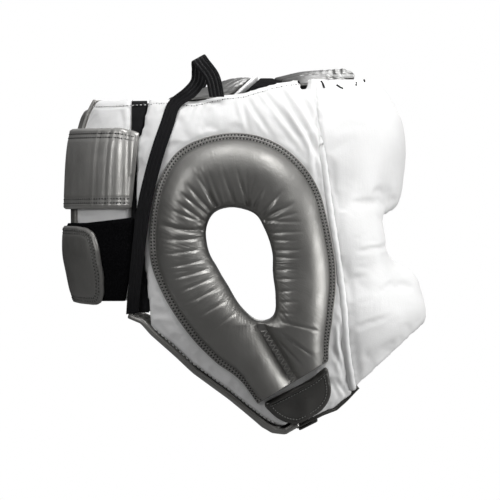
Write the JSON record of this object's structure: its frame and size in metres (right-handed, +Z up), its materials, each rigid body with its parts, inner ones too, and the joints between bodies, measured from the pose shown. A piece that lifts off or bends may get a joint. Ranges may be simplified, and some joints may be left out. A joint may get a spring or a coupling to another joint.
{
  "type": "full-face boxing head guard",
  "caption": "Padded full-face head guard in white and silver leather with a face bar, gathered ear rings, crown flaps, back straps and side elastics, kept in its worn shape",
  "frame": {"origin": "where the top of the wearer's head touches the inside of the crown, on the middle plane", "axes": "+Z up as worn, the face looks along -Y, the wearer's right side is at -X"},
  "size_m": [0.243, 0.2927, 0.305],
  "materials": {
    "white_leather": "soft satin white leather",
    "silver_leather": "satin metallic silver-grey leather",
    "dark_silver_leather": "satin dark silver leather",
    "black_webbing": "matte black woven elastic and loop tape",
    "lace": "woven white lace"
  },
  "bodies": {
    "root": {"front_pad": "white_leather", "side_panel_right": "white_leather", "side_panel_left": "white_leather", "ear_ring_right": "silver_leather", "ear_ring_left": "silver_leather", "ear_ring_trim_right": "silver_leather", "ear_ring_trim_left": "silver_leather", "jaw_patch_right": "dark_silver_leather", "jaw_patch_left": "dark_silver_leather", "edge_binding_right": "silver_leather", "edge_binding_left": "silver_leather", "gusset_right": "black_webbing", "gusset_left": "black_webbing", "back_panel_right": "white_leather", "back_panel_left": "white_leather", "back_piping_right": "silver_leather", "back_piping_left": "silver_leather", "back_centre_panel": "silver_leather", "upper_back_strap": "silver_leather", "loop_band": "black_webbing", "lower_back_strap": "silver_leather", "side_elastic_right": "black_webbing", "side_elastic_left": "black_webbing", "crown_rear_flap": "silver_leather", "crown_flap_piping": "white_leather", "crown_lining": "black_webbing", "crown_front_flap": "silver_leather", "crown_lace_right": "lace", "crown_lace_left": "lace", "chin_strap": "dark_silver_leather"}
  },
  "joints": []
}
